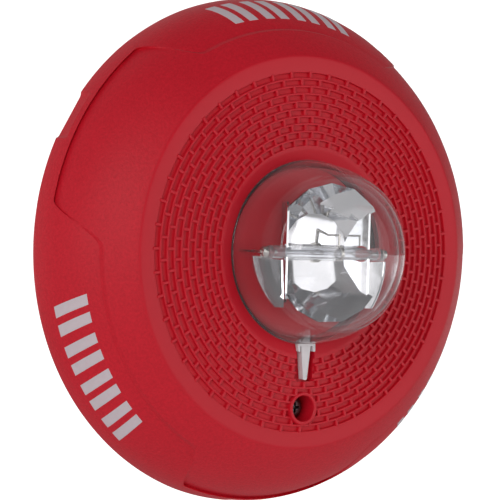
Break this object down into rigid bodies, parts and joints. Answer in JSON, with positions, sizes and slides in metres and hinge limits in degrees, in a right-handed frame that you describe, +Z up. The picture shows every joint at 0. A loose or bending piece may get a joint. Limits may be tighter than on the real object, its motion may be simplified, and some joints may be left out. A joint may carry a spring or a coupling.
{
  "type": "horn strobe",
  "caption": "Round wall-mounted fire alarm horn strobe with a clear dome lens, sound grille and a tilting head on a wiring plate.",
  "frame": {"origin": "middle of the mounting plate's back face, in the wall's plane, midway between the single-gang screws", "axes": "+Z up the wall, +X to the right as seen from the room, -Y out of the wall towards the room, so +Y points into the wall"},
  "size_m": [0.1728, 0.0635, 0.1724],
  "materials": {
    "red_housing": "satin, fine moulded texture",
    "plate_black": "matte, fine moulded texture",
    "cover_black": "matte, fine moulded texture",
    "clear_lens": "clear, moulded polycarbonate",
    "reflector_chrome": "vacuum metallised",
    "tube_glass": "clear quartz",
    "nickel": "nickel plated",
    "zinc_steel": "zinc plated",
    "dark_steel": "dark passivated",
    "brass": "bright",
    "spring_bronze": "satin",
    "copper": "enamelled copper",
    "gasket_rubber": "matte",
    "terminal_black": "satin",
    "pcb_green": "solder mask",
    "cap_sleeve": "shrink sleeve",
    "ferrite": "matte ferrite",
    "coil_potting": "potted",
    "ic_black": "matte epoxy",
    "chip_black": "matte",
    "cup_black": "matte",
    "ceramic": "silvered ceramic",
    "lead_red": "insulated wire",
    "switch_grey": "matte",
    "switch_white": "matte",
    "nylon": "natural nylon"
  },
  "bodies": {
    "plate": {"mounting_plate": "plate_black", "screw_insert": "brass", "terminal_block": "terminal_black", "terminal_contacts": "brass", "spring_rivet": "nickel"},
    "head": {"front_housing": "red_housing", "rear_cover": "cover_black", "rear_cover_screws": "zinc_steel", "hinge_pin": "zinc_steel", "lens": "clear_lens", "lens_gasket": "gasket_rubber", "reflector": "reflector_chrome", "flash_tube": "tube_glass", "tube_end_caps": "nickel", "trigger_band": "nickel", "circuit_board": "pcb_green", "circuit_board_screws": "zinc_steel", "storage_capacitor": "cap_sleeve", "inductor_core": "ferrite", "inductor_winding": "copper", "trigger_coil": "coil_potting", "microcontroller": "ic_black", "rectifier_diodes": "chip_black", "chip_resistors": "chip_black", "contact_blades": "brass", "sounder_cup": "cup_black", "piezo_disc": "brass", "piezo_ceramic": "ceramic", "piezo_clamp_ring": "cup_black", "piezo_leads": "lead_red", "candela_switch": "switch_grey", "tone_switch": "switch_grey", "screw_retainer": "nylon"},
    "shorting_spring": {"shorting_spring": "spring_bronze"},
    "candela_slider": {"candela_slider": "switch_white"},
    "tone_rotor": {"tone_rotor": "switch_white"},
    "screw_slide": {"screw_washer": "nickel"},
    "captive_screw": {"captive_screw": "dark_steel"},
    "terminal_slide_1": {"terminal_clamp_1": "nickel"},
    "terminal_screw_1": {"terminal_screw_1": "nickel"},
    "terminal_slide_2": {"terminal_clamp_2": "nickel"},
    "terminal_screw_2": {"terminal_screw_2": "nickel"},
    "terminal_slide_3": {"terminal_clamp_3": "nickel"},
    "terminal_screw_3": {"terminal_screw_3": "nickel"},
    "terminal_slide_4": {"terminal_clamp_4": "nickel"},
    "terminal_screw_4": {"terminal_screw_4": "nickel"}
  },
  "joints": [
    {"name": "head_tilt", "type": "hinge", "parent": "plate", "child": "head", "pos_m": [0, -0.0026, 0.0796], "axis": [-1, 0, 0], "range_deg": [0, 20]},
    {"name": "spring_flex", "type": "hinge", "parent": "plate", "child": "shorting_spring", "pos_m": [-0.0205, -0.005, 0.036], "axis": [0, 0, 1], "range_deg": [-3, 0]},
    {"name": "candela_slide", "type": "slide", "parent": "head", "child": "candela_slider", "axis": [1, 0, 0], "range_m": [-0.004, 0.004]},
    {"name": "tone_turn", "type": "hinge", "parent": "head", "child": "tone_rotor", "pos_m": [0.038, -0.011, -0.022], "axis": [0, 1, 0], "range_deg": [0, 315]},
    {"name": "screw_drive", "type": "slide", "parent": "head", "child": "screw_slide", "axis": [0, -1, 0], "range_m": [-0.006, 0]},
    {"name": "screw_turn", "type": "hinge", "parent": "screw_slide", "child": "captive_screw", "pos_m": [0, -0.02, -0.0523], "axis": [0, -1, 0], "range_deg": [-2700, 0]},
    {"name": "clamp_lift_1", "type": "slide", "parent": "plate", "child": "terminal_slide_1", "axis": [0, -1, 0], "range_m": [0, 0.002]},
    {"name": "terminal_turn_1", "type": "hinge", "parent": "terminal_slide_1", "child": "terminal_screw_1", "pos_m": [-0.0135, -0.008, 0.019], "axis": [0, -1, 0], "range_deg": [0, 1080]},
    {"name": "clamp_lift_2", "type": "slide", "parent": "plate", "child": "terminal_slide_2", "axis": [0, -1, 0], "range_m": [0, 0.002]},
    {"name": "terminal_turn_2", "type": "hinge", "parent": "terminal_slide_2", "child": "terminal_screw_2", "pos_m": [-0.0045, -0.008, 0.019], "axis": [0, -1, 0], "range_deg": [0, 1080]},
    {"name": "clamp_lift_3", "type": "slide", "parent": "plate", "child": "terminal_slide_3", "axis": [0, -1, 0], "range_m": [0, 0.002]},
    {"name": "terminal_turn_3", "type": "hinge", "parent": "terminal_slide_3", "child": "terminal_screw_3", "pos_m": [0.0045, -0.008, 0.019], "axis": [0, -1, 0], "range_deg": [0, 1080]},
    {"name": "clamp_lift_4", "type": "slide", "parent": "plate", "child": "terminal_slide_4", "axis": [0, -1, 0], "range_m": [0, 0.002]},
    {"name": "terminal_turn_4", "type": "hinge", "parent": "terminal_slide_4", "child": "terminal_screw_4", "pos_m": [0.0135, -0.008, 0.019], "axis": [0, -1, 0], "range_deg": [0, 1080]}
  ],
  "couplings": [
    {"joint": "spring_flex", "follows": "head_tilt", "ratio": -0.14},
    {"joint": "screw_turn", "follows": "screw_drive", "rad_per_m": 7854},
    {"joint": "terminal_turn_1", "follows": "clamp_lift_1", "rad_per_m": 9424.8},
    {"joint": "terminal_turn_2", "follows": "clamp_lift_2", "rad_per_m": 9424.8},
    {"joint": "terminal_turn_3", "follows": "clamp_lift_3", "rad_per_m": 9424.8},
    {"joint": "terminal_turn_4", "follows": "clamp_lift_4", "rad_per_m": 9424.8}
  ]
}
